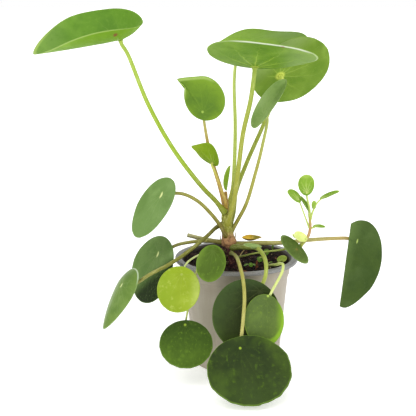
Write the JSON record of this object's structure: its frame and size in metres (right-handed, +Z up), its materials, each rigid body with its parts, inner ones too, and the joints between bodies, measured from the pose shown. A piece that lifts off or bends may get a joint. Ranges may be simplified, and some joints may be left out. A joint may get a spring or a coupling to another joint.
{
  "type": "potted pilea plant",
  "caption": "House plant with round leaves on long arching stalks around one woody stem, with a small side shoot, growing in a round plastic nursery pot filled with soil.",
  "frame": {"origin": "middle of the pot's foot, on the surface that the pot stands on", "axes": "+Z up along the pot's axis, -Y towards the side where the leaves hang in front of the pot, +X to the right seen from there"},
  "size_m": [0.3231, 0.2112, 0.3438],
  "materials": {
    "pot": "satin, grey taupe",
    "soil": "damp potting soil with bark chips",
    "bark": "scarred woody stem, greener near its tip",
    "blade_fresh": "fresh green leaf, semi-gloss",
    "blade_sheen": "green leaf with a silvery sheen",
    "blade_deep": "dark green leaf, semi-gloss",
    "blade_lime": "yellow green leaf, semi-gloss",
    "stalk": "smooth pale green leaf stalk",
    "plantlet": "young green shoot",
    "withered": "dry yellow leaf"
  },
  "bodies": {
    "root": {"pot": "pot", "soil": "soil", "main_stem": "bark", "blade_crown_left": "blade_fresh", "stalk_crown_left": "stalk", "blade_crown_front": "blade_fresh", "stalk_crown_front": "stalk", "blade_crown_right": "blade_fresh", "stalk_crown_right": "stalk", "blade_crown_back": "blade_fresh", "stalk_crown_back": "stalk", "blade_crown_slim": "blade_sheen", "stalk_crown_slim": "stalk", "blade_young_cupped": "blade_fresh", "stalk_young_cupped": "stalk", "blade_young_side": "blade_fresh", "stalk_young_side": "stalk", "blade_left_upper": "blade_sheen", "stalk_left_upper": "stalk", "blade_left_middle": "blade_deep", "stalk_left_middle": "stalk", "blade_left_outer": "blade_sheen", "stalk_left_outer": "stalk", "blade_rim_small": "blade_fresh", "stalk_rim_small": "stalk", "blade_rim_yellow": "blade_lime", "stalk_rim_yellow": "stalk", "blade_low_left": "blade_deep", "stalk_low_left": "stalk", "blade_front_broad": "blade_deep", "stalk_front_broad": "stalk", "blade_front_small": "blade_fresh", "stalk_front_small": "stalk", "blade_front_low": "blade_deep", "stalk_front_low": "stalk", "blade_right": "blade_deep", "stalk_right": "stalk", "blade_young_rolled": "blade_fresh", "stalk_cut": "stalk", "plantlet": "plantlet", "blade_plantlet": "blade_deep", "blade_withered": "withered"}
  },
  "joints": []
}
